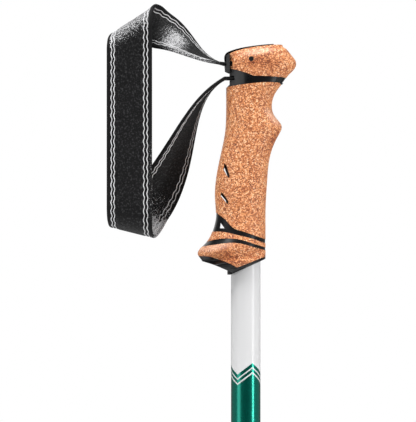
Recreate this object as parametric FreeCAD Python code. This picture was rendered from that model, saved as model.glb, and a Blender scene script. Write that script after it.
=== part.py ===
"""A telescopic trekking pole with a cork grip, a flat wrist strap, two lever locks, a snow basket and a
carbide tip, drawn at its storage length. Millimetres. +Z runs up the shaft and +X to the walker's front.
The origin is on the shaft's axis at the middle of the hand. While drawing, heights are measured from the
tip's point, and save() moves them to the origin. Each sub-part is written to parts/NODE.step.
"""
import FreeCAD, Part
import math
import os

V = FreeCAD.Vector
Z_AXIS, Y_AXIS, X_AXIS = V(0, 0, 1), V(0, 1, 0), V(1, 0, 0)

# Driving dimensions: the three tubes, their walls, and how far each tube may be drawn out.
UPPER_TUBE_R, MIDDLE_TUBE_R, LOWER_TUBE_R = 9.0, 8.0, 7.0
TUBE_WALL = 0.7
GRIP_HEIGHT = 140.5
STORAGE_LENGTH = 645.5
SEAT_GAP = 0.05       # glued and pressed seats
SLIDE_GAP = 0.2       # a clamp's liner round the tube that slides in it
RUN_GAP = 0.06        # a pin, a thread or a guide bush that moves

# Heights along the shaft, from the tip's point.
GRIP_Z = STORAGE_LENGTH - GRIP_HEIGHT
HAND_Z = GRIP_Z + 70.0
LOCK_HEIGHT = 42.0
LOCK_CLAMP = 24.0     # the slit lower stretch of a lock, below the tube that carries it
STORAGE_GAP = 4.0     # left between the tip, the two locks and each other when the pole is shut
TIP_TOP_Z = 108.0
LOWER_LOCK_Z = TIP_TOP_Z + STORAGE_GAP
UPPER_LOCK_Z = LOWER_LOCK_Z + LOCK_HEIGHT + STORAGE_GAP
TUBE_SEAT_IN_TIP_Z = 72.0
TUBE_TOP_IN_GRIP = 112.0
MIDDLE_TUBE_TOP_Z = 596.0
LOWER_TUBE_TOP_Z = 570.0
BUSH_LENGTH = 14.0

# The grip: heights are above its lowest point, x is measured from the shaft's axis.
SOCKET_R = 10.4
CORK_THICKNESS = 2.6
BAND_SINK = 0.25      # how far the black bands lie under the cork's face
GRIP_HALF_SPAN = 40.0
HEAD_CORK_THICKNESS = 3.4
CORE_FOOT_H = 2.0
COLLAR_R, COLLAR_TOP_H = 11.3, 12.0
FRAME_HALF_WIDTH = 12.0
PIN_X, PIN_H, PIN_R, PIN_HALF = 3.2, 131.6, 1.5, 14.7
ANCHOR_X, ANCHOR_R, ANCHOR_HALF = -1.6, 1.6, 12.4
CAP_HALF_WIDTH, CAP_FRONT_X = 7.0, 17.0
CAP_FRONT_ROOM = 1.8  # the cap's front edge comes forward as it tilts
CAP_GAP = 0.25
STRAP_SLOT_HALF_WIDTH = 10.8
UPPER_SLOT_H, LOWER_SLOT_H = 128.8, 120.0
STRAP_SLOT_HEIGHT = 2.8

# The wrist strap: one flat band, folded over at the top and the bottom of its hanging run.
STRAP_WIDTH, STRAP_END_WIDTH, STRAP_THICK = 27.7, 20.0, 2.0
STRAP_X, STRAP_Y, STRAP_MID_H = -71.0, -12.0, 90.5
STRAP_TAIL = 9.0      # inside each slot
WRAP_STATIONS, RUN_STATIONS = 12, 14
ACROSS = (-1.0, -0.5, 0.0, 0.5, 1.0)
# Each fold: how far it is from the middle of the hanging run, how its line slopes, and its radius.
# Past the fold the band turns a quarter round its own middle: twist_before is how early that starts, and
# hurry how much of it comes first. The two handles steer the run to the slot, as shares of its length.
TOP_FOLD = {"reach": 63.0, "slope_deg": 32.5, "radius": 7.5, "twist_before": 18.0, "hurry": 1.3, "lead": 0.34,
            "steer_deg": 0.0, "into_slot": (-0.40, 0.06)}
LOW_FOLD = {"reach": 63.6, "slope_deg": 14.0, "radius": 12.5, "twist_before": 0.0, "hurry": 1.4, "lead": 0.42,
            "steer_deg": 8.0, "into_slot": (-0.27, -0.15)}


def save(node, *solids):
    """Writes the separate solids of one node."""
    found = [s for shape in solids for s in shape.Solids]
    shape = found[0] if len(found) == 1 else Part.makeCompound(found)
    shape = shape.translated(V(0, 0, -HAND_Z))
    shape.exportStep(os.path.join("parts", node + ".step"))
    box = shape.BoundBox
    spans = f"x {box.XMin:.1f} {box.XMax:.1f}  y {box.YMin:.1f} {box.YMax:.1f}  z {box.ZMin:.1f} {box.ZMax:.1f}"
    print(f"{node:26s} solids {len(found)} valid {shape.isValid()} volume {shape.Volume:10.1f}  {spans}")


def rod(radius, z0, z1, x=0.0, y=0.0):
    """A vertical cylinder from z0 to z1."""
    return Part.makeCylinder(radius, z1 - z0, V(x, y, z0), Z_AXIS)


def cross_rod(radius, x, z, y0, y1):
    """A cylinder along Y."""
    return Part.makeCylinder(radius, y1 - y0, V(x, y0, z), Y_AXIS)


def box(x0, x1, y0, y1, z0, z1):
    return Part.makeBox(x1 - x0, y1 - y0, z1 - z0, V(x0, y0, z0))


def carved(shape, *tools):
    """The shape with each tool cut away in turn."""
    for tool in tools:
        shape = shape.cut(tool)
    return shape


def lathe(profile):
    """A solid of revolution about Z from (radius, height) corners."""
    points = [V(r, 0, z) for r, z in profile]
    wire = Part.makePolygon(points + points[:1])
    return Part.Face(wire).revolve(V(0, 0, 0), Z_AXIS, 360)


def raised(shape, z):
    return shape.translated(V(0, 0, z))


def edge_through(points, smooth):
    """The edges of one outline in the XZ plane: a spline through the points, or straight runs."""
    ends = [V(x, 0, h) for x, h in points]
    if smooth:
        curve = Part.BSplineCurve()
        curve.interpolate(Points=ends)
        return [curve.toShape()]
    return [Part.makeLine(a, b) for a, b in zip(ends, ends[1:])]


def side_prism(*stretches, half=GRIP_HALF_SPAN):
    """A closed outline in the XZ plane, made of (points, smooth) stretches, swept from -half to half in Y."""
    edges = [e for points, smooth in stretches for e in edge_through(points, smooth)]
    wire = Part.Wire(Part.__sortEdges__(edges))
    face = Part.Face(wire)
    face.translate(V(0, -half, 0))
    return face.extrude(V(0, 2 * half, 0))


# ---------------------------------------------------------------- the grip's outer form
# Each row is one cut through the grip: height where it crosses the shaft's axis, its slope in degrees
# (front up), its rear and front ends in x, its half width in y, and how square its corners are.
GRIP_CUTS = [
    (-2.0, 9.0, -25.5, 12.1, 12.4, 2.3),
    (5.0, 9.0, -26.6, 12.1, 13.4, 2.3),
    (11.0, 9.0, -27.6, 12.1, 15.3, 2.3),
    (15.6, 9.0, -28.7, 12.1, 17.4, 2.3),
    (18.6, 9.0, -29.2, 12.1, 18.3, 2.3),
    (21.8, 8.0, -25.8, 12.1, 17.2, 2.2),
    (26.0, 5.0, -21.4, 12.1, 15.6, 2.2),
    (31.5, 2.0, -19.2, 12.1, 14.6, 2.2),
    (38.0, 0.0, -18.3, 12.1, 14.3, 2.2),
    (48.0, 0.0, -18.9, 12.5, 14.5, 2.2),
    (60.0, 0.0, -18.0, 13.3, 14.6, 2.2),
    (70.0, 0.0, -16.1, 14.4, 14.5, 2.2),
    (80.0, 0.0, -13.9, 17.4, 14.3, 2.2),
    (85.5, 0.0, -12.9, 20.2, 14.2, 2.2),
    (90.5, 0.0, -12.3, 22.0, 14.0, 2.2),
    (95.5, 1.0, -12.1, 18.6, 13.7, 2.2),
    (101.5, 2.0, -12.0, 16.0, 13.4, 2.3),
    (107.5, 4.0, -12.0, 17.0, 13.3, 2.3),
    (112.5, 6.0, -12.0, 20.6, 13.5, 2.4),
    (117.0, 7.2, -12.0, 24.6, 13.9, 2.5),
    (121.0, 7.2, -12.0, 28.7, 14.6, 2.5),
    (124.8, 7.2, -12.0, 30.8, 15.3, 2.5),
    (128.0, 7.2, -12.0, 29.9, 15.6, 2.5),
    (131.5, 7.2, -12.0, 27.5, 15.3, 2.5),
    (135.0, 7.2, -12.0, 24.9, 13.7, 2.5),
    (139.5, 7.2, -12.0, 22.6, 10.2, 2.5),
    (144.0, 7.2, -12.0, 20.5, 6.8, 2.5),
]
CUT_POINTS = 20


def grip_cut(row, inset=0.0):
    """The closed outline of one cut: a superellipse, drawn as a periodic spline."""
    height, slope, rear, front, half, square = row
    lean = math.radians(slope)
    middle, reach = (front + rear) / 2, (front - rear) / 2 - inset
    points = []
    for i in range(CUT_POINTS):
        turn = 2 * math.pi * i / CUT_POINTS
        c, s = math.cos(turn), math.sin(turn)
        x = middle + reach * math.copysign(abs(c) ** (2 / square), c)
        y = (half - inset) * math.copysign(abs(s) ** (2 / square), s)
        points.append(V(x, y, height + x * math.tan(lean)))
    curve = Part.BSplineCurve()
    curve.interpolate(Points=points, PeriodicFlag=True)
    return Part.Wire(curve.toShape())


def grip_form(inset=0.0, low=-10.0, high=150.0):
    rows = [r for r in GRIP_CUTS if low <= r[0] <= high]
    return Part.makeLoft([grip_cut(r, inset) for r in rows], True, False, False, 3)


# The lines that part the grip's cork and black pieces, seen from the side, as (x, height).
FAR = 36.0
BASE_LOW_REAR = [(-FAR, 10.2), (-27.7, 8.4), (-19.0, 5.9), (-11.3, 2.6), (-7.4, 0.9)]
BASE_LOW_FRONT = [(-7.4, 0.9), (FAR, 20.6)]
BASE_HIGH_REAR = [(-FAR, 11.0), (-28.6, 11.3), (-23.3, 11.2), (-18.6, 10.1), (-12.4, 8.0), (-5.2, 4.5)]
BASE_HIGH_FRONT = [(-5.2, 4.5), (FAR, 20.8)]
ACCENT_LOW = [(-FAR, 14.6), (-25.3, 17.4), (-18.6, 18.5), (-12.4, 19.3), (-6.7, 19.5), (3.2, 17.4),
              (12.2, 14.8), (FAR, 7.0)]
ACCENT_HIGH = [(-FAR, 15.4), (-22.3, 20.6), (-15.5, 22.0), (-9.2, 22.2), (-3.0, 21.4), (3.2, 19.5),
               (12.2, 16.5), (FAR, 8.0)]
WINDOW_LOW = [(-FAR, 26.4), (-19.5, 26.3), (-12.3, 26.0), (-6.7, 24.6), (0.8, 22.9), (12.1, 19.1),
              (FAR, 10.0)]
WINDOW_HIGH = [(-FAR, 52.0), (-17.6, 37.5), (-12.3, 33.3), (-9.2, 29.9), (-6.7, 28.0), (-2.9, 26.8),
               (3.3, 24.7), (12.1, 21.6), (FAR, 12.6)]
NECK_LOW = [(-FAR, 110.6), (-10.2, 114.8), (-4.6, 115.7), (2.4, 116.6), (9.4, 117.3), (16.5, 117.4),
            (21.8, 117.0), (FAR, 115.0)]
NECK_HIGH_REAR = [(-FAR, 126.6), (-8.4, 125.5), (4.8, 121.3)]
NECK_HIGH_FRONT = [(4.8, 121.3), (18.8, 120.8), (FAR, 119.0)]
CORK_TOP = [(-FAR, 120.0), (-13.0, 133.2), (-9.0, 135.4), (-3.5, 137.2), (2.6, 138.6), (9.9, 139.6),
            (16.0, 140.3), (23.4, 140.5), (FAR, 140.0)]
NOSE = [(22.3, 140.65), (29.7, 132.15), (34.2, 127.0), (60.0, 127.0), (60.0, 170.0), (22.3, 170.0),
        (22.3, 140.65)]
REAR_FLAT_X = -9.9
REAR_NOTCH = [(-FAR, 114.2), (-11.9, 114.2), (REAR_FLAT_X, 116.0), (REAR_FLAT_X, 160.0), (-FAR, 160.0),
              (-FAR, 114.2)]

# Slots and the window that pass through the palm swell from side to side. Each is wider through the cork
# than through the core behind it, so a black ledge shows above it.
CORK_VENTS = [[(-13.2, 67.9), (-11.9, 66.7), (-9.8, 60.4), (-10.3, 58.9), (-11.2, 59.9), (-13.7, 64.1)],
              [(-14.9, 50.4), (-13.8, 49.4), (-10.6, 44.9), (-10.9, 43.0), (-11.8, 43.6), (-15.6, 48.5)]]
CORE_VENTS = [[(-13.1, 65.6), (-11.4, 61.0), (-11.2, 59.9), (-13.5, 64.1)],
              [(-14.9, 48.6), (-12.2, 45.2), (-12.0, 44.0), (-15.3, 48.2)]]
WINDOW = [(-15.3, 32.9), (-12.0, 28.1), (-15.9, 28.0)]
CORE_WINDOW = [(-15.3, 31.6), (-13.0, 28.3), (-15.7, 28.3)]


def up_side(points, top=170.0):
    """The straight edges that close a boundary line into the area above it."""
    (x0, h0), (x1, h1) = points[0], points[-1]
    return [(x1, h1), (x1, top), (x0, top), (x0, h0)]


def above(*stretches):
    """The space above a line given in (points, smooth) stretches that run from rear to front."""
    line = [p for points, _ in stretches for p in points]
    return side_prism(*stretches, (up_side(line), False))


ABOVE_BASE_LOW = above((BASE_LOW_REAR, True), (BASE_LOW_FRONT, False))
ABOVE_BASE_HIGH = above((BASE_HIGH_REAR, True), (BASE_HIGH_FRONT, False))
ABOVE_ACCENT_LOW = above((ACCENT_LOW, True))
ABOVE_ACCENT_HIGH = above((ACCENT_HIGH, True))
ABOVE_WINDOW_LOW = above((WINDOW_LOW, True))
ABOVE_WINDOW_HIGH = above((WINDOW_HIGH, True))
ABOVE_NECK_LOW = above((NECK_LOW, True))
ABOVE_NECK_HIGH = above((NECK_HIGH_REAR, True), (NECK_HIGH_FRONT, True))
ABOVE_CORK = above((CORK_TOP, True))

OUTSIDE = (ABOVE_CORK, side_prism((REAR_NOTCH, False)), side_prism((NOSE, False)))
FORM = carved(grip_form(), *OUTSIDE)
SUNK_FORM = carved(grip_form(BAND_SINK), *OUTSIDE)
SOCKET = rod(SOCKET_R, 0.0, NECK_LOW[3][1])
INNER = grip_form(CORK_THICKNESS, 18.0, 118.0).fuse(SOCKET)
TUBE_SPACE = rod(UPPER_TUBE_R + SEAT_GAP, -5.0, TUBE_TOP_IN_GRIP)


def through(*outlines):
    """A straight prism from side to side for each outline."""
    return [side_prism((outline + outline[:1], False)) for outline in outlines]


def cap_side_outline():
    """The lock cap's side view: the jaw over the strap, the rounded rear, the low top and its thin front."""
    rear = [(-13.0, UPPER_SLOT_H + 1.4), (-13.2, 132.6)]
    back = [(-13.2, 132.6), (-12.4, 134.8), (-10.3, 136.3)]
    top = [(-10.3, 136.3), (-3.5, 138.4), (5.6, 139.9), (12.0, 140.6), (CAP_FRONT_X, 140.9)]
    under = [(CAP_FRONT_X, 140.9), (CAP_FRONT_X, 139.3), (PIN_X + 4.6, 136.6), (PIN_X + 3.2, PIN_H - 1.0),
             (PIN_X, PIN_H - 3.4), (PIN_X - 3.2, PIN_H - 1.4), (-13.0, UPPER_SLOT_H + 1.4)]
    return (rear, False), (back, True), (top, True), (under, False)


def grip_parts():
    """The grip's cork shells, its black core and bands, the lock cap and the two cross pins."""
    # Room for the lock cap: a channel along the top, deep enough for the cap's front to dip when it tilts.
    jaw_h = UPPER_SLOT_H + STRAP_SLOT_HEIGHT / 2
    channel_front = CAP_FRONT_X + CAP_FRONT_ROOM
    channel_side = [(-16.0, jaw_h - 0.3), (PIN_X - 4.4, jaw_h - 0.6), (PIN_X, PIN_H - 4.4),
                    (PIN_X + 4.0, PIN_H - 2.0), (13.0, 133.6), (channel_front, 133.6), (channel_front, 150.0),
                    (-16.0, 150.0), (-16.0, jaw_h - 0.3)]
    channel = side_prism((channel_side, False), half=CAP_HALF_WIDTH + CAP_GAP)
    slots = [box(-16.0, 0.0, -STRAP_SLOT_HALF_WIDTH, STRAP_SLOT_HALF_WIDTH, h - STRAP_SLOT_HEIGHT / 2,
                 h + STRAP_SLOT_HEIGHT / 2) for h in (UPPER_SLOT_H, LOWER_SLOT_H)]
    anchor = cross_rod(ANCHOR_R, ANCHOR_X, LOWER_SLOT_H, -ANCHOR_HALF, ANCHOR_HALF)
    pin = cross_rod(PIN_R, PIN_X, PIN_H, -PIN_HALF, PIN_HALF)
    pin_hole = cross_rod(PIN_R + SEAT_GAP, PIN_X, PIN_H, -GRIP_HALF_SPAN, GRIP_HALF_SPAN)
    pin_room = cross_rod(PIN_R + RUN_GAP, PIN_X, PIN_H, -PIN_HALF, PIN_HALF)

    # The black frame behind the cork head, with a lip under the strap's upper slot.
    frame_side = [(REAR_FLAT_X, 123.2), (-11.9, 124.0), (-12.7, 124.4), (-13.0, 127.4), (-11.9, 127.4),
                  (-11.9, 133.6), (-10.9, 134.6), (REAR_FLAT_X, 134.9), (REAR_FLAT_X, 123.2)]
    frame = side_prism((frame_side, False), half=FRAME_HALF_WIDTH)
    head_core = grip_form(HEAD_CORK_THICKNESS, 108.0, 136.0).common(ABOVE_NECK_LOW)
    head_core = carved(head_core, side_prism((REAR_NOTCH, False)), box(-50, 50, -40, 40, 134.5, 170))
    neck = SUNK_FORM.common(ABOVE_NECK_LOW).cut(ABOVE_NECK_HIGH)
    core = INNER.cut(ABOVE_NECK_LOW).common(ABOVE_BASE_LOW.cut(box(-60, 60, -60, 60, -50, CORE_FOOT_H)))
    core = core.fuse(neck).fuse(head_core).fuse(frame)
    core = carved(core, TUBE_SPACE, channel, pin_hole, anchor, *slots, *through(*CORE_VENTS, CORE_WINDOW))
    save("grip_core", raised(core, GRIP_Z))
    head = carved(FORM.common(ABOVE_NECK_HIGH), head_core, channel, frame, pin_hole, *slots)
    save("head_cork", raised(head, GRIP_Z))

    shell, sunk_shell = FORM.cut(INNER), SUNK_FORM.cut(INNER)
    handle = carved(shell.cut(ABOVE_NECK_LOW).common(ABOVE_WINDOW_HIGH), *through(*CORK_VENTS, WINDOW))
    save("handle_cork", raised(handle, GRIP_Z))
    window_band = carved(sunk_shell.common(ABOVE_WINDOW_LOW), ABOVE_WINDOW_HIGH, *through(WINDOW))
    save("window_band", raised(window_band, GRIP_Z))
    save("lower_cork_band", raised(shell.common(ABOVE_ACCENT_HIGH).cut(ABOVE_WINDOW_LOW), GRIP_Z))
    save("accent_band", raised(sunk_shell.common(ABOVE_ACCENT_LOW).cut(ABOVE_ACCENT_HIGH), GRIP_Z))
    save("base_cork", raised(shell.common(ABOVE_BASE_HIGH).cut(ABOVE_ACCENT_LOW), GRIP_Z))

    # The base skirt: a V-shaped plate under the cork, and a collar cut off along the plate's front slope.
    plate = FORM.common(ABOVE_BASE_LOW).cut(ABOVE_BASE_HIGH)
    under_front = [(-9.4, -1.0), (-9.4, 0.05), BASE_LOW_FRONT[-1], (FAR, -1.0), (-9.4, -1.0)]
    collar = rod(COLLAR_R, 0.0, COLLAR_TOP_H).cut(side_prism((under_front, False)))
    skirt = carved(plate.fuse(collar), ABOVE_BASE_HIGH, INNER, TUBE_SPACE)
    save("base_skirt", raised(skirt, GRIP_Z))

    cap = side_prism(*cap_side_outline(), half=CAP_HALF_WIDTH).cut(pin_room)
    save("strap_lock_cap", raised(cap, GRIP_Z))
    save("lock_pin", raised(pin, GRIP_Z))
    save("strap_anchor_pin", raised(anchor, GRIP_Z))


# ---------------------------------------------------------------- the wrist strap
def folded(fold, along, across, up):
    """Wraps the flat band round a cylinder that leans in the band's plane. Gives the place from the middle
    of the hanging run, where along runs away from that middle and up is 1 for the top fold, -1 for the low."""
    lean, radius = math.radians(fold["slope_deg"]), fold["radius"]
    start = fold["reach"] - radius / math.cos(lean)
    past = (along - start) * math.cos(lean) - across * math.sin(lean)
    if past <= 0:
        return V(across, 0, up * along)
    if past < math.pi * radius:
        reach, depth = radius * math.sin(past / radius), radius * (1 - math.cos(past / radius))
    else:
        reach, depth = math.pi * radius - past, 2 * radius
    back = past - reach          # how much of the flat band's advance the wrap has taken up
    return V(across + back * math.sin(lean), depth, up * (along - back * math.cos(lean)))


def curve_between(start, first, second, end, t):
    """A point of the cubic curve with those two handles, and its direction."""
    u = 1 - t
    place = start * u ** 3 + first * (3 * t * u * u) + second * (3 * t * t * u) + end * t ** 3
    way = (first - start) * (3 * u * u) + (second - first) * (6 * t * u) + (end - second) * (3 * t * t)
    return place, way.normalize()


def strap_side(fold, up, slot_h):
    """One half of the strap, from its hanging run to its slot: rows of points across its width."""
    lean, half = math.radians(fold["slope_deg"]), STRAP_WIDTH / 2
    start = fold["reach"] - fold["radius"] / math.cos(lean)
    enters = start - half * math.tan(lean)
    clear = start + (math.pi * fold["radius"] + half * math.sin(lean)) / math.cos(lean)
    middle = V(STRAP_X, STRAP_Y, STRAP_MID_H)
    rows = []     # the distance past clear, the middle point, its direction, the offsets across
    for i in range(1, WRAP_STATIONS + 1):
        along = enters + (clear - enters) * i / WRAP_STATIONS
        centre = folded(fold, along, 0, up)
        way = (folded(fold, along + 0.5, 0, up) - folded(fold, along - 0.5, 0, up)).normalize()
        offsets = [folded(fold, along, side * half, up) - centre for side in ACROSS]
        rows.append((along - clear, centre + middle, way, offsets))
    begin, way, across = rows[-1][1], rows[-1][2], (rows[-1][3][-1] - rows[-1][3][0]).normalize()
    slot = V(REAR_FLAT_X - 3.0, 0, slot_h)
    span = (slot - begin).Length
    first = begin + FreeCAD.Rotation(Y_AXIS, fold["steer_deg"]).multVec(way) * (fold["lead"] * span)
    second = slot + V(fold["into_slot"][0], 0, fold["into_slot"][1]) * span
    last = begin
    for i in range(1, RUN_STATIONS + 1):
        t = i / RUN_STATIONS
        place, way = curve_between(begin, first, second, slot, t)
        square = (across - way * across.dot(way)).normalize()
        ease = t * t * (3 - 2 * t)
        reach = (STRAP_WIDTH + (STRAP_END_WIDTH - STRAP_WIDTH) * ease) / 2
        offsets = [square * (reach * side) for side in ACROSS]
        rows.append((rows[-1][0] + (place - last).Length, place, way, offsets))
        last = place
    total = rows[-1][0] + fold["twist_before"]
    lines = []
    for gone, place, way, offsets in rows:
        share = max(0.0, (gone + fold["twist_before"]) / total)
        turn = FreeCAD.Rotation(way * -up, 90.0 * (1 - (1 - share) ** fold["hurry"]))
        lines.append([place + turn.multVec(offset) for offset in offsets])
    return lines + [[point + V(STRAP_TAIL, 0, 0) for point in lines[-1]]]


def strap_parts():
    lines = list(reversed(strap_side(TOP_FOLD, 1, UPPER_SLOT_H))) + strap_side(LOW_FOLD, -1, LOWER_SLOT_H)
    wires = []
    for i, line in enumerate(lines):
        before, after = lines[max(i - 1, 0)], lines[min(i + 1, len(lines) - 1)]
        outer, inner = [], []
        for j, point in enumerate(line):
            across = line[min(j + 1, len(line) - 1)] - line[max(j - 1, 0)]
            proud = (after[j] - before[j]).cross(across).normalize() * (STRAP_THICK / 2)
            outer.append(point + proud)
            inner.append(point - proud)
        wires.append(Part.makePolygon(outer + inner[::-1] + outer[:1]))
    save("wrist_strap", raised(Part.makeLoft(wires, True, True), GRIP_Z))
    mids = [line[len(line) // 2] for line in lines]
    print("strap length", round(sum((q - p).Length for p, q in zip(mids, mids[1:])), 1))


# ---------------------------------------------------------------- the tubes
def tube(radius, z0, z1):
    return rod(radius, z0, z1).cut(rod(radius - TUBE_WALL, z0 - 1, z1 + 1))


def guide_bush(carrier_r, bore_r, z):
    """A plastic ring on a tube's upper end: a stem inside the tube and a lip that runs in the next one."""
    stem = rod(carrier_r - TUBE_WALL - SEAT_GAP, z - BUSH_LENGTH, z)
    lip_r = bore_r - RUN_GAP
    lip = lathe([(0, z), (lip_r, z), (lip_r, z + 5.0), (bore_r - 1.0, z + 6.0), (0, z + 6.0)])
    return stem.fuse(lip).cut(rod(carrier_r - TUBE_WALL - 1.6, z - BUSH_LENGTH - 1, z + 7.0))


def tube_parts():
    carrier_end = LOCK_CLAMP + 0.3
    save("upper_tube", tube(UPPER_TUBE_R, UPPER_LOCK_Z + carrier_end, GRIP_Z + TUBE_TOP_IN_GRIP))
    save("middle_tube", tube(MIDDLE_TUBE_R, LOWER_LOCK_Z + carrier_end, MIDDLE_TUBE_TOP_Z))
    save("lower_tube", tube(LOWER_TUBE_R, TUBE_SEAT_IN_TIP_Z, LOWER_TUBE_TOP_Z))
    save("middle_guide_bush", guide_bush(MIDDLE_TUBE_R, UPPER_TUBE_R - TUBE_WALL, MIDDLE_TUBE_TOP_Z))
    save("lower_guide_bush", guide_bush(LOWER_TUBE_R, MIDDLE_TUBE_R - TUBE_WALL, LOWER_TUBE_TOP_Z))
    plug_r = UPPER_TUBE_R - TUBE_WALL - SEAT_GAP
    save("upper_tube_plug", rod(plug_r, GRIP_Z + TUBE_TOP_IN_GRIP - 7.0, GRIP_Z + TUBE_TOP_IN_GRIP))


# ---------------------------------------------------------------- the lever locks
LOCK_WALL = 2.6
EAR_REACH, EAR_HALF, EAR_Z0, EAR_Z1 = 7.0, 7.6, 3.0, 21.0
SLIT = 1.6
SCREW_R, SCREW_Z, SCREW_OFFSET = 2.0, 12.0, 3.4
AXLE_R, CAM_R, CAM_THROW = 1.55, 4.4, 0.5
EYE_R, EYE_HALF = 3.3, 2.6
PLATE_THICK = 0.8
LEVER_Z0, LEVER_Z1 = 4.0, 20.0
LEVER_GAP, LEVER_THICK = 0.7, 2.8
NUT_R, NUT_THICK, NUT_FLUTES = 5.2, 4.4, 12
LEVER_FROM_DEG, LEVER_TO_DEG = -40.0, 78.0
BODY_GAP = 0.35       # between pieces that move past each other


def plan_prism(points, z0, z1):
    """A polygon in the XY plane raised from z0 to z1."""
    wire = Part.makePolygon([V(x, y, z0) for x, y in points + points[:1]])
    return Part.Face(wire).extrude(V(0, 0, z1 - z0))


def on_circle(radius, degrees):
    return radius * math.cos(math.radians(degrees)), radius * math.sin(math.radians(degrees))


def lock_parts(which, base, carrier_r, slider_r):
    """One clamp and the six pieces that tighten it on the sliding tube."""
    outer, bore = carrier_r + LOCK_WALL, carrier_r + SEAT_GAP
    screw_y = -(outer + SCREW_OFFSET)
    plate_x = EAR_HALF + PLATE_THICK
    axle_x = plate_x + BODY_GAP + CAM_R + CAM_THROW
    ear_y0, ear_y1 = -(outer + EAR_REACH), -(outer - 2.0)

    clamp = lathe([(bore, 0), (outer - 0.8, 0), (outer, 0.8), (outer, LOCK_HEIGHT - 1.4),
                   (outer - 1.4, LOCK_HEIGHT), (bore, LOCK_HEIGHT)])
    ears = box(-EAR_HALF, EAR_HALF, ear_y0, ear_y1, EAR_Z0, EAR_Z1)
    clamp = clamp.fuse(ears.cut(rod(bore, -1, LOCK_CLAMP)))
    screw_hole = Part.makeCylinder(SCREW_R + 0.3, 40, V(-20, screw_y, SCREW_Z), X_AXIS)
    relief = box(-outer - 1, outer + 1, -outer - 1, 2.0, LOCK_CLAMP - 1.4, LOCK_CLAMP)
    slit = box(-SLIT / 2, SLIT / 2, ear_y0 - 1, -slider_r + 2, -1, LOCK_CLAMP)
    save(which + "_lock_clamp", raised(carved(clamp, screw_hole, relief, slit), base))

    liner = rod(carrier_r, 1.5, LOCK_CLAMP - 2.0).cut(rod(slider_r + SLIDE_GAP, 0, LOCK_CLAMP))
    save(which + "_lock_liner", raised(liner.cut(slit), base))

    plate = box(EAR_HALF, plate_x, screw_y - 3.2, screw_y + 3.2, LEVER_Z0, LEVER_Z1).cut(screw_hole)
    save(which + "_lock_plate", raised(plate, base))

    shank = Part.makeCylinder(SCREW_R, axle_x + 15.0, V(-15.0, screw_y, SCREW_Z), X_AXIS)
    eye = rod(EYE_R, SCREW_Z - EYE_HALF, SCREW_Z + EYE_HALF, axle_x, screw_y)
    axle_hole = rod(AXLE_R + RUN_GAP, 0, LOCK_CLAMP, axle_x, screw_y)
    save(which + "_lock_screw", raised(shank.fuse(eye).cut(axle_hole), base))
    save(which + "_lock_axle", raised(rod(AXLE_R, LEVER_Z0 + 0.4, LEVER_Z1 - 0.4, axle_x, screw_y), base))

    arm_r0, arm_r1 = outer + LEVER_GAP, outer + LEVER_GAP + LEVER_THICK
    sweep = [(0.0, 0.0)] + [on_circle(3 * outer, LEVER_FROM_DEG + i * (LEVER_TO_DEG - LEVER_FROM_DEG) / 4)
                            for i in range(5)]
    arm = rod(arm_r1, LEVER_Z0, LEVER_Z1).cut(rod(arm_r0, 0, LOCK_CLAMP))
    arm = arm.common(plan_prism(sweep, LEVER_Z0, LEVER_Z1))
    tab = plan_prism([on_circle(arm_r0, LEVER_TO_DEG - 12), on_circle(arm_r1, LEVER_TO_DEG - 24),
                      on_circle(arm_r1 + 3.0, LEVER_TO_DEG + 2), on_circle(arm_r1 + 2.2, LEVER_TO_DEG + 8),
                      on_circle(arm_r0, LEVER_TO_DEG - 2)], LEVER_Z0, LEVER_Z1)
    neck = plan_prism([(axle_x - CAM_R + 0.8, screw_y), (axle_x + CAM_R - CAM_THROW, screw_y),
                       on_circle(arm_r1, -8), on_circle(arm_r0, LEVER_FROM_DEG)], LEVER_Z0, LEVER_Z1)
    cam = rod(CAM_R, LEVER_Z0, LEVER_Z1, axle_x - CAM_THROW, screw_y)
    eye_room = rod(CAM_R + CAM_THROW + BODY_GAP, SCREW_Z - EYE_HALF - BODY_GAP, SCREW_Z + EYE_HALF + BODY_GAP,
                   axle_x, screw_y)
    pressed_hole = rod(AXLE_R + 0.02, 0, LOCK_CLAMP, axle_x, screw_y)
    lever = carved(arm.fuse(tab).fuse(neck).fuse(cam), eye_room, pressed_hole)
    save(which + "_lock_lever", raised(lever, base))

    nut = Part.makeCylinder(NUT_R, NUT_THICK, V(-EAR_HALF - BODY_GAP - NUT_THICK, screw_y, SCREW_Z), X_AXIS)
    flutes = []
    for i in range(NUT_FLUTES):
        y, z = on_circle(NUT_R + 0.3, i * 360 / NUT_FLUTES)
        flutes.append(Part.makeCylinder(0.8, 20, V(-20, screw_y + y, SCREW_Z + z), X_AXIS))
    thread = Part.makeCylinder(SCREW_R + RUN_GAP, 20, V(-20, screw_y, SCREW_Z), X_AXIS)
    save(which + "_lock_nut", raised(carved(nut, thread, *flutes), base))


# ---------------------------------------------------------------- the tip and the basket
THREAD_R, THREAD_TURNS = 6.2, 4
STEM_R = 3.0
CARBIDE_STEM_R = 2.1
CAP_SEAT_R = 4.9      # where a rubber walking cap is pushed on
BASKET_R, BASKET_ARMS = 26.0, 6


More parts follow.
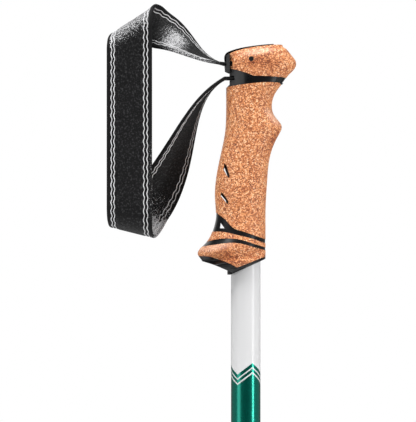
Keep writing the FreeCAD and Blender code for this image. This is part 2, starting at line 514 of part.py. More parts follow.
def tip_parts():
    socket_r, socket_z = LOWER_TUBE_R + SEAT_GAP, TUBE_SEAT_IN_TIP_Z - 0.3
    holder = lathe([(0, 62), (STEM_R, 62), (STEM_R, 40), (CAP_SEAT_R, 40), (5.2, 47), (5.6, 48), (5.6, 63.6),
                    (8.2, 64.4), (8.2, 66.6), (7.4, 67.6), (8.3, 84), (8.8, 105), (8.4, TIP_TOP_Z),
                    (socket_r, TIP_TOP_Z), (socket_r, socket_z), (0, socket_z)])
    for i in range(THREAD_TURNS):
        z = 50.0 + 3.0 * i
        holder = holder.fuse(lathe([(5.2, z), (THREAD_R, z + 0.6), (THREAD_R, z + 1.0), (5.2, z + 1.6)]))
    save("tip_holder", holder)
    sleeve = lathe([(0, 60), (STEM_R - SEAT_GAP, 60), (STEM_R - SEAT_GAP, 39.9), (CAP_SEAT_R, 39.9),
                    (CAP_SEAT_R, 33.9), (3.9, 15), (3.6, 14), (CARBIDE_STEM_R, 14),
                    (CARBIDE_STEM_R, 26), (0, 26)])
    save("flex_sleeve", sleeve)
    stem_r = CARBIDE_STEM_R - SEAT_GAP
    point = lathe([(0, 25.8), (stem_r, 25.8), (stem_r, 13.9), (3.3, 13.9), (3.1, 5), (2.3, 0),
                   (1.5, 0), (0, 2.2)])
    notches = [box(-4, 4, -0.35, 0.35, -1, 1.3).rotated(V(0, 0, 0), Z_AXIS, turn) for turn in (0, 60, 120)]
    save("carbide_tip", carved(point, *notches))

    hub_r = THREAD_R + RUN_GAP
    dish = lathe([(hub_r, 49.0), (9.0, 49.0), (9.6, 52.0), (BASKET_R - 3.0, 57.0), (BASKET_R, 60.5),
                  (BASKET_R - 0.8, 62.0), (BASKET_R - 4.2, 59.8), (9.6, 55.4), (8.6, 60.0), (hub_r, 60.0)])
    ring = rod(BASKET_R - 5.5, 40, 70).cut(rod(12.5, 39, 71))
    cuts = []
    for i in range(BASKET_ARMS):
        start = i * 360 / BASKET_ARMS
        wedge = [(0.0, 0.0)] + [on_circle(60.0, start + step) for step in (9, 24, 38, 51)]
        cuts.append(ring.common(plan_prism(wedge, 40, 70)))
        x, y = on_circle(BASKET_R + 3.0, start + 30)
        cuts.append(rod(5.0, 40, 70, x, y))
    save("basket", carved(dish, *cuts))


os.makedirs("parts", exist_ok=True)
if __name__ == "__main__":
    grip_parts()
    strap_parts()
    tube_parts()
    lock_parts("upper", UPPER_LOCK_Z, UPPER_TUBE_R, MIDDLE_TUBE_R)
    lock_parts("lower", LOWER_LOCK_Z, MIDDLE_TUBE_R, LOWER_TUBE_R)
    tip_parts()
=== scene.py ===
"""The looks of a telescopic trekking pole: cork grip, wrist strap, painted shaft, lever locks, basket, tip.
Metres, +Z up the shaft, +X to the walker's front, origin on the shaft's axis at the middle of the hand."""

import math

import bpy
import numpy as np
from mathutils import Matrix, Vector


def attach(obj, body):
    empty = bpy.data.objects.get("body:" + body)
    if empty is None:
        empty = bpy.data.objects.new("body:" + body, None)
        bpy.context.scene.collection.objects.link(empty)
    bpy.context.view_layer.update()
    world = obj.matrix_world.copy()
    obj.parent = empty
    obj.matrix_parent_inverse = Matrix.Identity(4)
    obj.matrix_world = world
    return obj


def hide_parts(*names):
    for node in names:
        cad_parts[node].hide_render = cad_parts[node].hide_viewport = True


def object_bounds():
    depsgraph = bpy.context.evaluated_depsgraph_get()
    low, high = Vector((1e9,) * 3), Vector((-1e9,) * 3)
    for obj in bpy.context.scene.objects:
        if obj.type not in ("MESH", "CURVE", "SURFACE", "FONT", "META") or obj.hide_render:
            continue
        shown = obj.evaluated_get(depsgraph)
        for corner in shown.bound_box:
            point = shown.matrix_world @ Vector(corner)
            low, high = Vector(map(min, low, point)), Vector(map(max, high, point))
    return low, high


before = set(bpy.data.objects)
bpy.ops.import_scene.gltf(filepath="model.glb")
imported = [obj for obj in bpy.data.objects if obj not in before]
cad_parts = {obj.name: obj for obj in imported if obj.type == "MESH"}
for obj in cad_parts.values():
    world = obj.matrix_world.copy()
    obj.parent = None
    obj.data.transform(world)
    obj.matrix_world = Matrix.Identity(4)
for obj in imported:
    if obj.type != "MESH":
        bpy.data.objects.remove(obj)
cad_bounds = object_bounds()
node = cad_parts
MM = 0.001

# ---------------------------------------------------------------- the view
# A long lens level with the grip, square to its side. The shaft stands a little right of the middle.
VIEW_CENTRE_X, VIEW_CENTRE_Z = -0.0231, -0.0311
VIEW_DISTANCE, VIEW_HEIGHT = 2.6, 0.2583

lens = bpy.data.cameras.new("view")
lens.lens = lens.sensor_width * VIEW_DISTANCE / VIEW_HEIGHT
view = bpy.data.objects.new("view", lens)
view.location = (VIEW_CENTRE_X, -VIEW_DISTANCE, VIEW_CENTRE_Z)
view.rotation_euler = (math.pi / 2, 0, 0)
bpy.context.scene.collection.objects.link(view)
bpy.context.scene.camera = view
bpy.context.scene.view_settings.view_transform = "Standard"


# ---------------------------------------------------------------- the wrist strap
# A flat band of brushed black webbing, two layers sewn together along both edges with pairs of light
# wavy threads. It folds over at the top and the bottom of its hanging run, and turns a quarter round
# on its way to the two slots behind the grip's head.
STRAP_WIDTH, STRAP_END_WIDTH, STRAP_THICK = 27.7, 20.0, 2.0
STRAP_MIDDLE = np.array([-71.0, -12.0, 20.5])
SLOT_X, UPPER_SLOT_Z, LOWER_SLOT_Z, STRAP_TAIL = -12.9, 58.8, 50.0, 9.0

# STRAP_MIDDLE is the middle of the hanging run. Of a fold: reach is from there to the fold's outermost
# point, slope is how many degrees the fold leans, and radius is how tight it is. The band begins to turn
# twist_before ahead of the fold's end, and turns sooner with a higher hurry. The curve to the slot has a
# first handle of lead, steered by some degrees, and a last one of into_slot, both as shares of the span.
TOP_FOLD = {"reach": 63.0, "slope": 32.5, "radius": 7.5, "twist_before": 18.0, "hurry": 1.3, "lead": 0.34,
            "steer": 0.0, "into_slot": (-0.40, 0.06)}
LOW_FOLD = {"reach": 63.6, "slope": 14.0, "radius": 12.5, "twist_before": 0.0, "hurry": 1.4, "lead": 0.42,
            "steer": 8.0, "into_slot": (-0.27, -0.15)}
STITCH_LINES = (-10.95, -9.25, 8.85, 10.95)
STITCH_WAVE, STITCH_SWING, THREAD_WIDTH, THREAD_HEIGHT = 5.3, 0.34, 0.62, 0.34
SEAM_HALF_WIDTH, SEAM_DEPTH, EDGE_SQUARENESS = 0.9, 0.24, 26
ROW_STEP, CURVE_SLACK, TAIL_ROWS, ACROSS_POINTS, EDGE_CROWDING = 0.6, 1.1, 12, 61, 0.35
THREAD_SIDES, THREAD_PINCH, PINCH_PHASE, LANE_HALF_WIDTH = 6, 0.28, 0.6, 0.5


def unit(vectors):
    """Each vector divided by its own length."""
    return vectors / np.linalg.norm(vectors, axis=-1, keepdims=True)


def turned(vectors, axes, angles):
    """Each vector turned about its own axis: v cos a + (k x v) sin a + k (k . v) (1 - cos a)."""
    cos, sin = np.cos(angles)[..., None], np.sin(angles)[..., None]
    along = np.sum(vectors * axes, axis=-1, keepdims=True)
    return vectors * cos + np.cross(axes, vectors) * sin + axes * along * (1 - cos)


def fold_start(fold):
    """How far along the band's middle line the fold begins."""
    return fold["reach"] - fold["radius"] / math.cos(math.radians(fold["slope"]))


def folded(fold, along, across, up):
    """The flat band wrapped round a cylinder that leans in the band's plane. Before the cylinder a point
    stays flat, on it the point goes round by its distance over the radius, and after it runs back behind."""
    lean, radius = math.radians(fold["slope"]), fold["radius"]
    past = (along - fold_start(fold)) * math.cos(lean) - across * math.sin(lean)
    angle = np.clip(past / radius, 0, math.pi)
    reach = np.minimum(past, 0) + radius * np.sin(angle) - np.maximum(past - math.pi * radius, 0)
    back = past - reach
    return np.stack([across + back * math.sin(lean), radius * (1 - np.cos(angle)),
                     up * (along - back * math.cos(lean))], axis=-1)


def strap_half(fold, up, slot_z, across):
    """One half of the band as a grid of middle-surface points, from the middle of the hanging run to inside
    its slot, and the length so far of each row. across runs from -1 to 1, left edge to right. A cubic curve
    follows the folded part, and the offsets across are turned about the middle line by up to a quarter."""
    lean, half = math.radians(fold["slope"]), STRAP_WIDTH / 2
    clear = fold_start(fold) + (math.pi * fold["radius"] + half * math.sin(lean)) / math.cos(lean)
    run = np.linspace(0, clear, int(clear / ROW_STEP))
    middle = folded(fold, run, 0 * run, up)
    nudge = 0.5
    way = unit(folded(fold, run + nudge, 0 * run, up) - folded(fold, run - nudge, 0 * run, up))
    offsets = folded(fold, run[:, None], across[None, :] * half, up) - middle[:, None]

    begin, first_way, side = middle[-1], way[-1], unit(offsets[-1, -1] - offsets[-1, 0])
    slot = np.array([SLOT_X, 0, slot_z]) - STRAP_MIDDLE
    span = np.linalg.norm(slot - begin)
    steered = turned(first_way, np.array([0.0, 1.0, 0.0]), np.array(math.radians(fold["steer"])))
    first = begin + steered * fold["lead"] * span
    second = slot + np.array([fold["into_slot"][0], 0, fold["into_slot"][1]]) * span
    t = np.linspace(0, 1, int(span * CURVE_SLACK / ROW_STEP))[1:, None]
    curve = (begin * (1 - t) ** 3 + first * 3 * t * (1 - t) ** 2 + second * 3 * t * t * (1 - t)
             + slot * t ** 3)
    curve_way = unit((first - begin) * (1 - t) ** 2 + (second - first) * 2 * t * (1 - t)
                     + (slot - second) * t * t)
    square = unit(side - curve_way * np.sum(side * curve_way, axis=-1, keepdims=True))
    reach = half + (STRAP_END_WIDTH - STRAP_WIDTH) / 2 * t * t * (3 - 2 * t)
    gone = run[-1] + np.cumsum(np.linalg.norm(np.diff(curve, axis=0, prepend=begin[None]), axis=1))

    middle = np.concatenate([middle, curve])
    way = np.concatenate([way, curve_way])
    offsets = np.concatenate([offsets, square[:, None] * reach[:, None] * across[None, :, None]])
    length = np.concatenate([run, gone])
    twist_start = clear - fold["twist_before"]
    share = np.clip((length - twist_start) / (length[-1] - twist_start), 0, 1)
    angles = math.pi / 2 * (1 - (1 - share) ** fold["hurry"])
    axes = np.broadcast_to((-up * way)[:, None], offsets.shape)
    grid = middle[:, None] + turned(offsets, axes, np.broadcast_to(angles[:, None], offsets.shape[:2]))
    inside = np.linspace(ROW_STEP, STRAP_TAIL, TAIL_ROWS)
    tail = grid[-1:] + np.array([1.0, 0, 0]) * inside[:, None, None]
    return np.concatenate([grid, tail]) + STRAP_MIDDLE, np.concatenate([length, length[-1] + inside])


def strap_surface(across):
    """The whole band's middle surface, its normals and its length, from the upper slot to the lower."""
    top, top_length = strap_half(TOP_FOLD, 1, UPPER_SLOT_Z, across)
    low, low_length = strap_half(LOW_FOLD, -1, LOWER_SLOT_Z, across)
    grid = np.concatenate([top[::-1], low[1:]])
    length = np.concatenate([-top_length[::-1], low_length[1:]])
    normals = unit(np.cross(np.gradient(grid, axis=0), np.gradient(grid, axis=1)))
    return grid, normals, length


def mesh_piece(name, points, faces, uv):
    """A mesh object from an array of points in mm and a list of faces, with one UV pair per point."""
    mesh = bpy.data.meshes.new(name)
    mesh.from_pydata(np.asarray(points, float) * MM, [], faces)
    layer = mesh.uv_layers.new(name="UVMap")
    corner = np.zeros(len(mesh.loops), np.int32)
    mesh.loops.foreach_get("vertex_index", corner)
    layer.data.foreach_set("uv", np.asarray(uv, np.float32)[corner].ravel())
    mesh.shade_smooth()
    piece = bpy.data.objects.new(name, mesh)
    bpy.context.scene.collection.objects.link(piece)
    return piece


def ring_faces(rows, ring, offset=0, flip=False):
    """The quads that join each ring of points to the next one along, and one face that closes each end."""
    i, j = np.meshgrid(np.arange(rows - 1), np.arange(ring), indexing="ij")
    here, there = i * ring + j, i * ring + (j + 1) % ring
    quads = np.stack([here, there, there + ring, here + ring], axis=-1).reshape(-1, 4) + offset
    first = np.arange(ring)[::-1] + offset
    last = np.arange(ring) + (rows - 1) * ring + offset
    faces = quads.tolist() + [first.tolist(), last.tolist()]
    return [face[::-1] for face in faces] if flip else faces


def puff(across):
    """Half the band's thickness: full in the middle, drawn in at the sewn lines, rounded at the edges."""
    half = STRAP_WIDTH / 2
    drawn = sum(np.exp(-((across * half - line) / SEAM_HALF_WIDTH) ** 2) for line in STITCH_LINES)
    rounded = (1 - np.abs(across) ** EDGE_SQUARENESS) ** 0.5
    return STRAP_THICK / 2 * (1 - SEAM_DEPTH * np.minimum(drawn, 1)) * rounded


# The band's two skins lie half its thickness to each side of its middle surface, and join at the edges,
# where the points crowd together to draw the edge round.
ACROSS = (np.sin(np.linspace(-math.pi / 2, math.pi / 2, ACROSS_POINTS)) * EDGE_CROWDING
          + np.linspace(-1, 1, ACROSS_POINTS) * (1 - EDGE_CROWDING))
grid, normals, length = strap_surface(ACROSS)
skin = normals * puff(ACROSS)[None, :, None]
rings = np.concatenate([grid + skin, (grid - skin)[:, -2:0:-1]], axis=1)
ring_uv = np.concatenate([ACROSS, ACROSS[-2:0:-1]]) * STRAP_WIDTH / 2 * MM
uv = np.stack(np.broadcast_arrays(length[:, None] * MM, ring_uv[None, :]), axis=-1).reshape(-1, 2)
strap_faces = ring_faces(len(rings), rings.shape[1], flip=True)
strap = mesh_piece("wrist_strap_webbing", rings.reshape(-1, 3), strap_faces, uv)

# Each thread lies on a skin, swings from side to side along its line, and narrows where a stitch dips.
threads, thread_faces, thread_uv = [], [], []
section = np.linspace(0, 2 * math.pi, THREAD_SIDES + 1)[:-1]
for side in (1, -1):
    for line in STITCH_LINES:
        lane = np.array([line - LANE_HALF_WIDTH, line, line + LANE_HALF_WIDTH]) / (STRAP_WIDTH / 2)
        lane_grid, lane_normals, lane_length = strap_surface(lane)
        swing = STITCH_SWING * np.sin(2 * math.pi * lane_length / STITCH_WAVE)
        sideways = unit(lane_grid[:, 2] - lane_grid[:, 0])
        out = side * lane_normals[:, 1]
        core = lane_grid[:, 1] + sideways * swing[:, None] + out * puff(lane[1])
        raised = np.abs(np.cos(math.pi * lane_length / STITCH_WAVE + PINCH_PHASE))
        pinch = 1 - THREAD_PINCH * (1 - raised)
        ring = core[:, None] + pinch[:, None, None] * (
            np.cos(section)[None, :, None] * sideways[:, None] * THREAD_WIDTH / 2
            + np.sin(section)[None, :, None] * out[:, None] * THREAD_HEIGHT / 2)
        thread_faces += ring_faces(len(ring), THREAD_SIDES, sum(len(t) for t in threads), side < 0)
        threads.append(ring.reshape(-1, 3))
        round_it = np.broadcast_arrays(lane_length[:, None] * MM, section[None])
        thread_uv.append(np.stack(round_it, axis=-1).reshape(-1, 2))
stitching = mesh_piece("wrist_strap_stitching", np.concatenate(threads), thread_faces,
                       np.concatenate(thread_uv))


class Value:
    """A number that varies over a surface. Arithmetic on it adds the Math nodes to its material."""

    def __init__(self, finish, socket):
        self.finish, self.socket = finish, socket

    def math(self, operation, *others):
        """A Math node on this number and the others."""
        return self.finish.node("ShaderNodeMath", {"operation": operation}, self, *others)

    def __add__(self, other):
        return self.math("ADD", other)

    def __sub__(self, other):
        return self.math("SUBTRACT", other)

    def __rsub__(self, other):
        return self.finish.node("ShaderNodeMath", {"operation": "SUBTRACT"}, other, self)

    def __mul__(self, other):
        return self.math("MULTIPLY", other)

    def __truediv__(self, other):
        return self.math("DIVIDE", other)

    __radd__, __rmul__ = __add__, __mul__

    def step(self, low, high):
        """0 below low and 1 above high, with a smooth change between."""
        smooth = {"interpolation_type": "SMOOTHSTEP"}
        return self.finish.node("ShaderNodeMapRange", smooth, self, low, high, 0.0, 1.0)

    def between(self, low, high, soft):
        """1 between low and high and 0 outside them."""
        return self.step(low - soft, low + soft) * (1 - self.step(high - soft, high + soft))


def lay_stops(ramp, stops):
    """Gives a colour ramp its stops, each of them a position and a colour."""
    while len(ramp.elements) < len(stops):
        ramp.elements.new(0.5)
    for element, (position, colour) in zip(ramp.elements, stops):
        element.position = position
        element.color = (*colour, 1.0)


class Nodes:
    """A node tree, with one way of adding any node to it."""

    def __init__(self, tree):
        self.tree = tree

    def node(self, kind, settings, *values, out=0, at=None, **named):
        """Adds a node, makes its settings first, then feeds its sockets in order, by number and by name."""
        made = self.tree.nodes.new(kind)
        for setting, value in settings.items():
            if setting == "stops":
                lay_stops(made.color_ramp, value)
            else:
                setattr(made, setting, value)
        feeds = [*enumerate(values), *(at or {}).items()]
        feeds += [(name.replace("_", " "), value) for name, value in named.items()]
        for key, value in feeds:
            socket = made.inputs[key]
            if isinstance(value, Value):
                self.tree.links.new(value.socket, socket)
            elif socket.type == "RGBA":
                socket.default_value = (*value, 1.0)
            else:
                socket.default_value = value
        return Value(self, made.outputs[out])

    def part(self, axis, vector=None):
        """One component of a vector, or of the object's own place where a finish names no vector."""
        return self.node("ShaderNodeSeparateXYZ", {}, vector or self.place, out=axis)


class Finish(Nodes):
    """One material: a Principled shader, and the nodes that feed it."""

    def __init__(self, name, **sockets):
        self.material = bpy.data.materials.new(name)
        self.material.use_nodes = True
        super().__init__(self.material.node_tree)
        self.shader = self.tree.nodes["Principled BSDF"]
        for socket, value in sockets.items():
            self.shader.inputs[socket.replace("_", " ")].default_value = value
        self.place = self.node("ShaderNodeTexCoord", {}, out="Object")
        self.uv = self.node("ShaderNodeTexCoord", {}, out="UV")

    def feed(self, socket, value):
        """Links a value to one of the shader's own sockets."""
        self.tree.links.new(value.socket, self.shader.inputs[socket])

    def scaled(self, x, y, z):
        """The object's own place with each component multiplied."""
        return self.node("ShaderNodeVectorMath", {"operation": "MULTIPLY"}, self.place, (x, y, z))

    def noise(self, size_mm, detail=3.0, vector=None, out=0, rough=0.5):
        """Soft noise whose lumps are about size_mm across."""
        return self.node("ShaderNodeTexNoise", {}, Vector=vector or self.place, Scale=1 / (size_mm * MM),
                         Detail=detail, Roughness=rough, out=out)

    def grains(self, size_mm, vector, feature="F1", out=0):
        """Cells of about size_mm: their distance, or another output of the Voronoi node."""
        return self.node("ShaderNodeTexVoronoi", {"feature": feature}, Vector=vector,
                         Scale=1 / (size_mm * MM), out=out)

    def patch(self, x, z, long, wide, slope):
        """1 in the middle of a soft sloping oval seen from the side, 0 outside it."""
        cos, sin = math.cos(math.radians(slope)), math.sin(math.radians(slope))
        dx, dz = self.part(0) - x * MM, self.part(2) - z * MM
        along, across = (dx * cos + dz * sin) / (long * MM), (dz * cos - dx * sin) / (wide * MM)
        return 1 - (along * along + across * across).math("SQRT").step(0.1, 1.0)

    def mixed(self, share, first, second):
        """One colour turning into another as share goes from 0 to 1."""
        sockets = {0: share, 6: first, 7: second}
        return self.node("ShaderNodeMix", {"data_type": "RGBA"}, at=sockets, out=2)

    def bump(self, height, depth_mm):
        """Feeds the shader's normal with a height that runs from 0 to 1 over depth_mm."""
        normal = self.node("ShaderNodeBump", {}, Strength=1.0, Distance=depth_mm * MM, Height=height)
        self.feed("Normal", normal)


# The nap ends in the margin along each edge, and each hem lies there too: all are in mm from the band's
# middle line. A sheen is painted in zones as pale stippled fibres, each zone with the distances it begins and
# ends at, how soft its ends are and how strong its painted sheen is. Distances run along the band from the
# middle of the hanging run, some up to the upper slot and some down to the lower one. The fold's zone follows
# its leaning line, and the one up the middle fades out to each side of a line left of the band's middle.
RIB_PITCH, YARN_PITCH = 0.9, 0.7
MARGIN, LEFT_HEM, RIGHT_HEM = (11.6, 12.3), (-12.3, -11.6), (11.4, 12.1)
SHEEN_AT_FOLD = (56.0, 70.0, 7.0, 0.95)
SHEEN_UP_MIDDLE, SHEEN_MIDDLE_AT, SHEEN_MIDDLE_FADE = (93.0, 107.0, 7.0, 1.25), -3.0, (4.0, 13.0)
SHEEN_DOWN, SHEEN_DOWN_FAINTLY = (78.0, 91.0, 5.0, 1.1), (80.0, 106.0, 9.0, 0.35)
SHEEN_LEFT_HEM, SHEEN_RIGHT_HEM = (100.0, 128.0, 8.0, 0.9), (72.0, 97.0, 6.0, 1.1)
SHEEN_HANGING_HEM = (8.0, 58.0, 8.0, 0.22)
NAP_BLACK, NAP_SHEEN = (0.001, 0.001, 0.0012), (0.006, 0.006, 0.0065)
FLECK_GREY, SHEEN_FIBRE_GREY = (0.045, 0.045, 0.047), (0.52, 0.52, 0.53)


def zone(distance, low, high, soft, share):
    """The share between low and high, and 0 outside them."""
    return distance.between(low, high, soft) * share


def webbing():
    """Black brushed webbing: fine cross ribs under a short glossy nap, with grey flecks. Where the band
    folds over, up its middle and along its hems, a sheen is painted in as pale stippled fibres."""
    cloth = Finish("brushed_black_webbing", Specular_IOR_Level=0.15)
    down, across = cloth.part(0, cloth.uv) / MM, cloth.part(1, cloth.uv) / MM
    up = -1 * down
    rib = (down * (2 * math.pi / RIB_PITCH)).math("SINE") * 0.5 + 0.5
    yarn = (across * (2 * math.pi / YARN_PITCH)).math("SINE") * 0.5 + 0.5
    nap = cloth.noise(0.9, 2.0, rough=0.7)
    fleck = cloth.noise(1.1, 1.0)
    dust = cloth.noise(0.62, 2.0)
    margin = across.math("ABSOLUTE").step(*MARGIN)
    loose = 1 - margin
    fold = up - across * math.tan(math.radians(TOP_FOLD["slope"]))
    middle = 1 - (across - SHEEN_MIDDLE_AT).math("ABSOLUTE").step(*SHEEN_MIDDLE_FADE)
    left_hem, right_hem = 1 - across.step(*LEFT_HEM), across.step(*RIGHT_HEM)
    # Painted sheen: these zones lighten the base colour where the light would catch the nap.
    painted_sheen = zone(fold, *SHEEN_AT_FOLD) + zone(up, *SHEEN_UP_MIDDLE) * middle
    painted_sheen = painted_sheen + zone(down, *SHEEN_DOWN) + zone(down, *SHEEN_DOWN_FAINTLY)
    hem_sheen = left_hem * zone(up, *SHEEN_LEFT_HEM) + right_hem * zone(down, *SHEEN_RIGHT_HEM)
    painted_sheen = painted_sheen * loose + hem_sheen + right_hem * zone(down, *SHEEN_HANGING_HEM)
    colour = cloth.mixed(nap, NAP_BLACK, NAP_SHEEN)
    colour = cloth.mixed(fleck.step(0.50, 0.72) * loose * 0.6, colour, FLECK_GREY)
    # The stipple paints the sheen in as pale fibres.
    sheen_stipple = dust.step(0.66 - painted_sheen * 0.26, 0.76 - painted_sheen * 0.18) * painted_sheen.step(0.0, 0.25)
    cloth.feed("Base Color", cloth.mixed(sheen_stipple * 0.85, colour, SHEEN_FIBRE_GREY))
    cloth.feed("Roughness", 0.28 + margin * 0.25 + nap * 0.16)
    cloth.bump(rib * yarn * 0.3 + nap * loose * 1.2, 0.30)
    return cloth.material


def thread():
    """Light grey reflective sewing thread, twisted, with a fine sparkle."""
    yarn = Finish("light_thread", Roughness=0.42, Specular_IOR_Level=0.6)
    along, round_it = yarn.part(0, yarn.uv), yarn.part(1, yarn.uv)
    twist = (along * (2 * math.pi / (0.55 * MM)) + round_it * 2).math("SINE") * 0.5 + 0.5
    sparkle = twist * 0.6 + yarn.noise(0.4) * 0.4
    yarn.feed("Base Color", yarn.mixed(sparkle, (0.42, 0.42, 0.43), (0.94, 0.94, 0.95)))
    yarn.bump(twist, 0.08)
    return yarn.material


strap.data.materials.append(webbing())
stitching.data.materials.append(thread())
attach(strap, "upper_section")
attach(stitching, "upper_section")
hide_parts("wrist_strap")
float(length[-1] - length[0]) * MM


# ---------------------------------------------------------------- the grip's cork
# Four shells of granulated cork, ground to shape and sanded, glued over the black core: the head, the
# handle, a narrow ring and the flared base. The granules are under a millimetre, in a dark binder.
# Highlights are painted paler along the upper edges of the head, the flared base and the finger hook, and
# shade is painted darker on the faces below them: each spot's middle in x and z, its half length and half
# width in mm, and its slope in degrees.
HIGHLIGHT_SPOTS = ((7.5, 66.0, 14.0, 3.0, 8.0), (-18.5, -53.2, 15.0, 3.4, 10.6), (16.5, 26.0, 10.0, 3.6, -50.0))
SHADE_SPOTS = ((9.0, 60.0, 17.0, 6.5, 0.0), (-11.0, -58.5, 14.0, 6.0, -33.0), (17.5, 12.0, 11.0, 5.0, 60.0))
CHIP_SIZE, CRUMB_SIZE, PIT_SPACING, CLOUD_SIZE = 0.66, 0.40, 3.4, 16.0
CORK_TONES = ((0.10, (0.14, 0.028, 0.008)), (0.28, (0.36, 0.090, 0.026)), (0.5, (0.62, 0.215, 0.070)),
              (0.72, (0.84, 0.375, 0.150)), (0.9, (1.0, 0.70, 0.44)))
BINDER_BROWN, PIT_BROWN = (0.26, 0.07, 0.022), (0.13, 0.034, 0.012)
CLOUD_BROWN, HIGHLIGHT_BUFF = (0.46, 0.14, 0.05), (0.90, 0.62, 0.52)


def cork():
    """Chips and crumbs as cells of one tone each, their edges bent by noise. Binder shows along the chips'
    joints, and dark pits lie here and there. Paler spots paint in highlights and darker spots paint in shade."""
    shell = Finish("granulated_cork", Specular_IOR_Level=0.45)
    drift = shell.noise(0.9, 2.0, out=1)
    sway = (0.7 * MM, 0.7 * MM, 0.7 * MM)
    bent = shell.node("ShaderNodeVectorMath", {"operation": "MULTIPLY_ADD"}, drift, sway, shell.place)
    chip = shell.part(0, shell.grains(CHIP_SIZE, bent, out=1))
    crumb = shell.part(1, shell.grains(CRUMB_SIZE, bent, out=1))
    # Painted highlight and painted shade: the pale spots lighten the cork where light falls on its upper
    # edges, and the dark spots darken it on the faces below.
    painted_highlight = sum(shell.patch(*spot) for spot in HIGHLIGHT_SPOTS)
    painted_shade = sum(shell.patch(*spot) for spot in SHADE_SPOTS)
    joint = 1 - shell.grains(CHIP_SIZE, bent, "DISTANCE_TO_EDGE").step(0.01, 0.09)
    pit = 1 - shell.grains(PIT_SPACING, bent).step(0.05, 0.13)
    cloud = shell.noise(CLOUD_SIZE, 2.0).step(0.45, 0.70)
    tone = chip * 0.72 + crumb * 0.28 + painted_highlight * 0.10 - painted_shade * 0.20
    colour = shell.node("ShaderNodeValToRGB", {"stops": CORK_TONES}, tone)
    colour = shell.mixed(joint * 0.40, colour, BINDER_BROWN)
    colour = shell.mixed(pit * 0.8, colour, PIT_BROWN)
    colour = shell.mixed(cloud * 0.18, colour, CLOUD_BROWN)
    # The painted highlight also turns the cork towards a pale buff.
    shell.feed("Base Color", shell.mixed(painted_highlight * 0.30, colour, HIGHLIGHT_BUFF))
    shell.feed("Roughness", 0.42 + chip * 0.25)
    shell.bump(tone * 0.7 - joint * 0.3 - pit * 0.9, 0.16)
    return shell.material


def dress(finish, *names):
    """Gives CAD nodes a material in place of their plain one."""
    for name in names:
        node[name].data.materials.clear()
        node[name].data.materials.append(finish)


dress(cork(), "head_cork", "handle_cork", "lower_cork_band", "base_cork")


# ---------------------------------------------------------------- the grip's black parts
# The core, its neck and the strap's frame, the two bands, the base skirt and the lock cap are moulded in
# black plastic with a fine spark-eroded grain. The core's is greyer and duller than that of the others,
# and polished where it comes to the front of the neck.
CORE_POLISHED_FROM_X, POLISH_BLACK, POLISH_GLOSS = -1.0, (0.003, 0.003, 0.0033), 0.22


def moulded(name, dark, pale, roughness, grain_mm=0.35, depth_mm=0.03, specular=0.3, polished_from=None):
    """Moulded plastic with a fine grain, a little uneven. It is polished in front of an x in mm, if given."""
    plastic = Finish(name, Specular_IOR_Level=specular)
    grain = plastic.noise(grain_mm, 3.0)
    patch = plastic.noise(9.0, 2.0)
    rough = roughness + (patch - 0.5) * 0.16
    colour = plastic.mixed(grain * 0.6 + patch * 0.4, dark, pale)
    if polished_from is not None:
        polish = plastic.part(0).step((polished_from - 1.5) * MM, (polished_from + 1.5) * MM)
        colour = plastic.mixed(polish, colour, POLISH_BLACK)
        rough = rough - polish * POLISH_GLOSS
    plastic.feed("Base Color", colour)
    plastic.feed("Roughness", rough)
    plastic.bump(grain, depth_mm)
    return plastic.material


dress(moulded("core_plastic", dark=(0.016, 0.016, 0.0165), pale=(0.034, 0.034, 0.035), roughness=0.5,
              polished_from=CORE_POLISHED_FROM_X),
      "grip_core")
dress(moulded("band_plastic", dark=(0.002, 0.002, 0.0023), pale=(0.006, 0.006, 0.0064), roughness=0.30,
              specular=0.17),
      "window_band", "accent_band", "base_skirt", "strap_lock_cap")


# ---------------------------------------------------------------- the pins
# Two steel cross pins, ground and pressed in: one carries the lock cap, the other holds the strap's loop.
# Both are blackened, and show fine lines along their length, which is Y.
def ground_steel(name, tone, roughness=0.32):
    """Steel of one grey with fine lines along Y."""
    steel = Finish(name, Metallic=1.0)
    lines = steel.noise(0.5, 3.0, vector=steel.scaled(4.0, 0.3, 4.0))
    dark, pale = (tone * 0.8, tone * 0.8, tone * 0.82), (tone * 1.2, tone * 1.2, tone * 1.2)
    steel.feed("Base Color", steel.mixed(lines, dark, pale))
    steel.feed("Roughness", roughness + (lines - 0.5) * 0.2)
    steel.bump(lines, 0.01)
    return steel.material


dress(ground_steel("pin_steel", 0.12), "lock_pin", "strap_anchor_pin")


# ---------------------------------------------------------------- the upper tube
# Drawn aluminium, 18 mm across, lacquered white at the top and green below. Where they meet the green
# ends in a zigzag with two fine white lines, three points round the tube.
ZIGZAG_MIDDLE, ZIGZAG_RISE, ZIGZAG_POINTS, ZIGZAG_PEAK_DEG = -127.4, 3.5, 3, -64.0
GREEN_BANDS, GREEN_FROM, PAINT_EDGE = ((0.0, 2.4), (3.3, 5.4)), 6.4, 0.06
WHITE_TONES = (0.575, 0.575, 0.58), (0.625, 0.625, 0.63)
GREEN_TONES = (0.0, 0.150, 0.108), (0.0, 0.195, 0.142)


